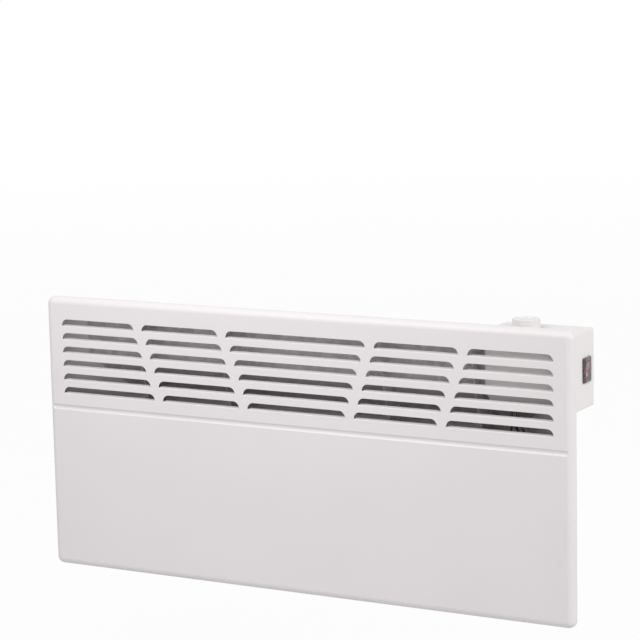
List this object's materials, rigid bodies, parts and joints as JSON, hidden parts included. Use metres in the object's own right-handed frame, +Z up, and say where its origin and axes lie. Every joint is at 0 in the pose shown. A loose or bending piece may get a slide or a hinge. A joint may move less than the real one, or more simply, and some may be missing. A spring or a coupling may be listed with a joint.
{
  "type": "wall panel convector heater",
  "caption": "Flat wall-hung electric convector: louvred pressed steel front, shallow rear casing, side control box with thermostat knob and rocker switch, wall bracket.",
  "frame": {"origin": "middle of the four wall screw holes, on the wall plane", "axes": "+X to the right seen from the front, +Y into the wall, +Z up"},
  "size_m": [0.8355, 0.1, 0.4085],
  "materials": {
    "panel_white": "white powder coat, fine texture, satin",
    "casing_white": "white powder coat, satin",
    "bracket_white": "white powder coat, satin",
    "galvanised": "galvanised sheet",
    "aluminium": "extruded, matt",
    "stainless": "heat-tinted stainless tube",
    "zinc_screw": "zinc plated",
    "tinned": "brass blade tabs",
    "ceramic": "unglazed steatite",
    "white_plastic": "moulded, satin",
    "knob_plastic": "moulded, semi-gloss",
    "black_plastic": "moulded nylon",
    "dark_frame": "moulded nylon, satin",
    "red_rocker": "translucent red, polished",
    "clear_cover": "clear soft plastic",
    "bakelite": "moulded phenolic",
    "gland_plastic": "moulded nylon",
    "rubber": "moulded",
    "lead_brown": "silicone insulation",
    "lead_blue": "silicone insulation",
    "lead_green": "silicone insulation",
    "copper": "drawn copper"
  },
  "bodies": {
    "heater": {"air_deflector": "galvanised", "bracket_crossbar": "bracket_white", "bracket_upright_left": "bracket_white", "bracket_upright_right": "bracket_white", "bulb_clip": "galvanised", "cable_gland": "gland_plastic", "capillary_tube": "copper", "control_cover": "white_plastic", "control_housing": "white_plastic", "cover_screws": "zinc_screw", "cutout_clip": "galvanised", "deflector_ribs": "galvanised", "earth_screw": "zinc_screw", "element_bracket_left": "galvanised", "element_bracket_right": "galvanised", "element_bushes": "ceramic", "element_fins": "aluminium", "front_panel": "panel_white", "gland_nut": "gland_plastic", "heating_rod": "stainless", "housing_screws": "zinc_screw", "lead_cutout": "lead_brown", "lead_earth": "lead_green", "lead_grommet": "rubber", "lead_heater": "lead_brown", "lead_neutral": "lead_blue", "lead_supply": "lead_brown", "lead_switched": "lead_brown", "panel_screws": "zinc_screw", "rear_casing": "casing_white", "rod_terminals": "tinned", "sensor_bulb": "copper", "switch_cover": "clear_cover", "switch_frame": "dark_frame", "switch_terminals": "tinned", "terminal_block": "black_plastic", "terminal_screws": "tinned", "thermal_cutout": "bakelite", "thermostat_body": "bakelite", "thermostat_screws": "zinc_screw"},
    "knob": {"thermostat_knob": "knob_plastic", "thermostat_shaft": "stainless"},
    "rocker": {"switch_rocker": "red_rocker"}
  },
  "joints": [
    {"name": "knob_turn", "type": "hinge", "parent": "heater", "child": "knob", "pos_m": [0.333, -0.059, 0.194], "axis": [0, 0, -1], "range_deg": [0, 285]},
    {"name": "rocker_tip", "type": "hinge", "parent": "heater", "child": "rocker", "pos_m": [0.4105, -0.0445, 0.141], "axis": [0, -1, 0], "range_deg": [0, 16]}
  ]
}
